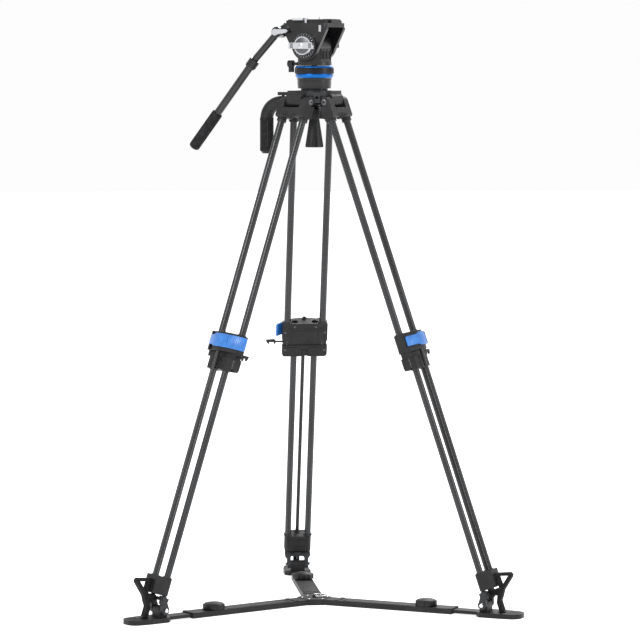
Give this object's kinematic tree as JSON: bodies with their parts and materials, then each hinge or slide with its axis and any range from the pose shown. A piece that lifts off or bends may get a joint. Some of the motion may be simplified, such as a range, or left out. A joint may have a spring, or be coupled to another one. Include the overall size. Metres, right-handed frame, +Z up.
{
  "type": "video tripod",
  "caption": "Two-stage tripod with a fluid head, pan handle, quick-release camera plate and a ground spreader with rocker feet.",
  "frame": {"origin": "on the pan axis, at the flat underside of the spreader hub, level with the ground", "axes": "+Z up along the pan axis; +Y towards the back leg; the other legs point to 210 and 330 degrees; the camera platform faces -33.5 degrees from +X"},
  "size_m": [1.0808, 0.9434, 1.6161],
  "materials": {
    "lever_blue": "glossy blue moulding",
    "black_casting": "fine textured matte black",
    "grey_insert": "satin dark grey",
    "bright_steel": "polished",
    "carbon_tube": "satin black tube",
    "black_plastic": "moulded satin black",
    "rubber": "matte",
    "grey_plastic": "satin dark grey",
    "arm_plastic": "grained matte black",
    "black_anodised": "satin black",
    "blue_anodised": "knurled black band between blue anodised rims",
    "silver_alloy": "satin",
    "black_tube": "gloss black",
    "foam_grip": "foam"
  },
  "bodies": {
    "crown": {"crown": "black_casting", "port_insert": "grey_insert", "carry_handle": "black_casting", "hinge_pins": "bright_steel"},
    "leg_1_upper": {"shoulder_1": "black_casting", "upper_tubes_1": "carbon_tube", "waist_clamp_1": "black_casting", "waist_block_1": "black_casting"},
    "leg_1_lower": {"lower_tubes_1": "carbon_tube", "ankle_block_1": "black_casting"},
    "lever_1": {"flip_lever_1": "lever_blue"},
    "wing_1": {"wing_screw_1": "black_plastic"},
    "leg_2_upper": {"shoulder_2": "black_casting", "upper_tubes_2": "carbon_tube", "waist_clamp_2": "black_casting", "waist_block_2": "black_casting"},
    "leg_2_lower": {"lower_tubes_2": "carbon_tube", "ankle_block_2": "black_casting"},
    "lever_2": {"flip_lever_2": "lever_blue"},
    "wing_2": {"wing_screw_2": "black_plastic"},
    "leg_3_upper": {"shoulder_3": "black_casting", "upper_tubes_3": "carbon_tube", "waist_clamp_3": "black_casting", "waist_block_3": "black_casting"},
    "leg_3_lower": {"lower_tubes_3": "carbon_tube", "ankle_block_3": "black_casting"},
    "lever_3": {"flip_lever_3": "lever_blue"},
    "wing_3": {"wing_screw_3": "black_plastic"},
    "spreader": {"spreader_hub": "arm_plastic", "spreader_arms": "arm_plastic"},
    "foot_1": {"foot_plate_1": "arm_plastic"},
    "saddle_1": {"foot_yoke_1": "grey_plastic", "ankle_strap_1": "rubber"},
    "arm_knob_1": {"arm_lock_knob_1": "black_plastic"},
    "foot_2": {"foot_plate_2": "arm_plastic"},
    "saddle_2": {"foot_yoke_2": "grey_plastic", "ankle_strap_2": "rubber"},
    "arm_knob_2": {"arm_lock_knob_2": "black_plastic"},
    "foot_3": {"foot_plate_3": "arm_plastic"},
    "saddle_3": {"foot_yoke_3": "grey_plastic", "ankle_strap_3": "rubber"},
    "arm_knob_3": {"arm_lock_knob_3": "black_plastic"},
    "lift_ring": {"lift_ring": "bright_steel"},
    "clamp_washer": {"clamp_washer": "black_anodised"},
    "half_ball": {"half_ball": "black_anodised"},
    "tie_down": {"tie_down_handle": "black_plastic"},
    "drag_ring": {"pan_drag_ring": "blue_anodised"},
    "pan_head": {"pan_housing": "black_anodised"},
    "pan_lock": {"pan_lock_knob": "black_plastic"},
    "tilt_head": {"tilt_cradle": "black_anodised"},
    "drag_dial": {"drag_dial": "silver_alloy"},
    "tilt_lock": {"tilt_lock_knob": "black_plastic"},
    "quick_plate": {"camera_plate": "black_anodised"},
    "camera_screw": {"camera_screw": "bright_steel"},
    "plate_lock": {"plate_lock_lever": "silver_alloy"},
    "safety_catch": {"safety_catch": "bright_steel"},
    "handle_rod": {"handle_rod": "black_tube"},
    "clamp_lever": {"clamp_lever": "silver_alloy"},
    "handle_grip": {"handle_tube": "black_tube", "handle_grip": "foam_grip"}
  },
  "joints": [
    {"name": "leg_1_spread", "type": "hinge", "parent": "crown", "child": "leg_1_upper", "pos_m": [0, 0.057, 1.38474], "axis": [1, 0, 0], "range_deg": [-2.5, 4]},
    {"name": "leg_1_extension", "type": "slide", "parent": "leg_1_upper", "child": "leg_1_lower", "axis": [0, 0.3289, -0.9444], "range_m": [-0.565, 0]},
    {"name": "flip_lever_1_open", "type": "hinge", "parent": "leg_1_upper", "child": "lever_1", "pos_m": [0.055, 0.30375, 0.74003], "axis": [0, 0.3289, -0.9444], "range_deg": [0, 105]},
    {"name": "wing_screw_1_turn", "type": "hinge", "parent": "leg_1_upper", "child": "wing_1", "pos_m": [-0.064, 0.29666, 0.70262], "axis": [-1, 0, 0], "continuous": true},
    {"name": "leg_2_spread", "type": "hinge", "parent": "crown", "child": "leg_2_upper", "pos_m": [-0.04936, -0.0285, 1.38474], "axis": [-0.5, 0.866, 0], "range_deg": [-2.6, 4.1]},
    {"name": "leg_2_extension", "type": "slide", "parent": "leg_2_upper", "child": "leg_2_lower", "axis": [-0.2848, -0.1644, -0.9444], "range_m": [-0.565, 0]},
    {"name": "flip_lever_2_open", "type": "hinge", "parent": "leg_2_upper", "child": "lever_2", "pos_m": [-0.29056, -0.10424, 0.74003], "axis": [-0.2848, -0.1644, -0.9444], "range_deg": [0, 105]},
    {"name": "wing_screw_2_turn", "type": "hinge", "parent": "leg_2_upper", "child": "wing_2", "pos_m": [-0.22491, -0.20376, 0.70262], "axis": [0.5, -0.866, 0], "continuous": true},
    {"name": "leg_3_spread", "type": "hinge", "parent": "crown", "child": "leg_3_upper", "pos_m": [0.04936, -0.0285, 1.38474], "axis": [-0.5, -0.866, 0], "range_deg": [-2.6, 4.1]},
    {"name": "leg_3_extension", "type": "slide", "parent": "leg_3_upper", "child": "leg_3_lower", "axis": [0.2848, -0.1644, -0.9444], "range_m": [-0.565, 0]},
    {"name": "flip_lever_3_open", "type": "hinge", "parent": "leg_3_upper", "child": "lever_3", "pos_m": [0.23556, -0.19951, 0.74003], "axis": [0.2848, -0.1644, -0.9444], "range_deg": [0, 105]},
    {"name": "wing_screw_3_turn", "type": "hinge", "parent": "leg_3_upper", "child": "wing_3", "pos_m": [0.28891, -0.0929, 0.70262], "axis": [0.5, 0.866, 0], "continuous": true},
    {"name": "spreader_rise", "type": "slide", "parent": "crown", "child": "spreader", "axis": [0, 0, 1], "range_m": [-0.02077, 0.03263]},
    {"name": "foot_1_reach", "type": "slide", "parent": "spreader", "child": "foot_1", "axis": [0, 1, 0], "range_m": [-0.06002, 0.09544]},
    {"name": "saddle_1_rock", "type": "hinge", "parent": "foot_1", "child": "saddle_1", "pos_m": [0, 0.51007, 0.032], "axis": [1, 0, 0], "range_deg": [-2.6, 4.1]},
    {"name": "arm_knob_1_turn", "type": "hinge", "parent": "spreader", "child": "arm_knob_1", "pos_m": [0, 0.335, 0.0158], "axis": [0, 0, 1], "range_deg": [-180, 0]},
    {"name": "foot_2_reach", "type": "slide", "parent": "spreader", "child": "foot_2", "axis": [-0.866, -0.5, 0], "range_m": [-0.06002, 0.09544]},
    {"name": "saddle_2_rock", "type": "hinge", "parent": "foot_2", "child": "saddle_2", "pos_m": [-0.44174, -0.25504, 0.032], "axis": [-0.5, 0.866, 0], "range_deg": [-2.6, 4.1]},
    {"name": "arm_knob_2_turn", "type": "hinge", "parent": "spreader", "child": "arm_knob_2", "pos_m": [-0.29012, -0.1675, 0.0158], "axis": [0, 0, 1], "range_deg": [-180, 0]},
    {"name": "foot_3_reach", "type": "slide", "parent": "spreader", "child": "foot_3", "axis": [0.866, -0.5, 0], "range_m": [-0.06002, 0.09544]},
    {"name": "saddle_3_rock", "type": "hinge", "parent": "foot_3", "child": "saddle_3", "pos_m": [0.44174, -0.25504, 0.032], "axis": [-0.5, -0.866, 0], "range_deg": [-2.6, 4.1]},
    {"name": "arm_knob_3_turn", "type": "hinge", "parent": "spreader", "child": "arm_knob_3", "pos_m": [0.29012, -0.1675, 0.0158], "axis": [0, 0, 1], "range_deg": [-180, 0]},
    {"name": "lift_ring_flip", "type": "hinge", "parent": "spreader", "child": "lift_ring", "pos_m": [0, 0, 0.0197], "axis": [0.5, -0.866, 0], "range_deg": [0, 90]},
    {"name": "level_roll", "type": "hinge", "parent": "crown", "child": "clamp_washer", "pos_m": [0, 0, 1.42174], "axis": [0.8339, -0.5519, 0], "range_deg": [-5, 5]},
    {"name": "level_pitch", "type": "hinge", "parent": "clamp_washer", "child": "half_ball", "pos_m": [0, 0, 1.42174], "axis": [0.5519, 0.8339, 0], "range_deg": [-5, 5]},
    {"name": "tie_down_turn", "type": "hinge", "parent": "half_ball", "child": "tie_down", "pos_m": [0, 0, 1.32474], "axis": [0, 0, 1], "range_deg": [-180, 0]},
    {"name": "pan_drag_turn", "type": "hinge", "parent": "half_ball", "child": "drag_ring", "pos_m": [0, 0, 1.46474], "axis": [0, 0, 1], "range_deg": [0, 150]},
    {"name": "pan", "type": "hinge", "parent": "half_ball", "child": "pan_head", "pos_m": [0, 0, 1.48874], "axis": [0, 0, 1], "continuous": true},
    {"name": "pan_lock_turn", "type": "hinge", "parent": "pan_head", "child": "pan_lock", "pos_m": [-0.05776, 0.02144, 1.48904], "axis": [0.8339, -0.5519, 0], "range_deg": [-90, 0]},
    {"name": "tilt", "type": "hinge", "parent": "pan_head", "child": "tilt_head", "pos_m": [0, 0, 1.53774], "axis": [0.5519, 0.8339, 0], "range_deg": [-25, 70]},
    {"name": "tilt_drag_turn", "type": "hinge", "parent": "tilt_head", "child": "drag_dial", "pos_m": [-0.03643, -0.05504, 1.53774], "axis": [0.5519, 0.8339, 0], "range_deg": [-120, 120]},
    {"name": "tilt_lock_turn", "type": "hinge", "parent": "tilt_head", "child": "tilt_lock", "pos_m": [0.03643, 0.05504, 1.53774], "axis": [0.5519, 0.8339, 0], "range_deg": [-60, 60]},
    {"name": "plate_slide", "type": "slide", "parent": "tilt_head", "child": "quick_plate", "axis": [0.8339, -0.5519, 0], "range_m": [-0.025, 0.025]},
    {"name": "camera_screw_turn", "type": "hinge", "parent": "quick_plate", "child": "camera_screw", "pos_m": [0.01418, -0.00938, 1.60274], "axis": [0, 0, 1], "continuous": true},
    {"name": "plate_lock_turn", "type": "hinge", "parent": "tilt_head", "child": "plate_lock", "pos_m": [-0.0276, -0.04169, 1.60674], "axis": [0, 0, 1], "range_deg": [0, 60]},
    {"name": "safety_catch_press", "type": "slide", "parent": "tilt_head", "child": "safety_catch", "axis": [0.5519, 0.8339, 0], "range_m": [0, 0.003]},
    {"name": "handle_angle", "type": "hinge", "parent": "tilt_head", "child": "handle_rod", "pos_m": [-0.09764, 0.00467, 1.57474], "axis": [0.5519, 0.8339, 0], "range_deg": [0, 60]},
    {"name": "handle_clamp_turn", "type": "hinge", "parent": "handle_rod", "child": "clamp_lever", "pos_m": [-0.10316, -0.00367, 1.57474], "axis": [0.5519, 0.8339, 0], "range_deg": [-90, 0]},
    {"name": "handle_length", "type": "slide", "parent": "handle_rod", "child": "handle_grip", "axis": [-0.5248, 0.3473, -0.7771], "range_m": [0, 0.09]}
  ],
  "couplings": [
    {"joint": "spreader_rise", "follows": "leg_1_spread", "m_per_rad": 0.45307},
    {"joint": "leg_2_spread", "follows": "leg_1_spread", "ratio": 1},
    {"joint": "leg_3_spread", "follows": "leg_1_spread", "ratio": 1},
    {"joint": "foot_1_reach", "follows": "leg_1_spread", "m_per_rad": 1.3527},
    {"joint": "saddle_1_rock", "follows": "leg_1_spread", "ratio": 1},
    {"joint": "foot_2_reach", "follows": "leg_1_spread", "m_per_rad": 1.3527},
    {"joint": "saddle_2_rock", "follows": "leg_1_spread", "ratio": 1},
    {"joint": "foot_3_reach", "follows": "leg_1_spread", "m_per_rad": 1.3527},
    {"joint": "saddle_3_rock", "follows": "leg_1_spread", "ratio": 1}
  ]
}
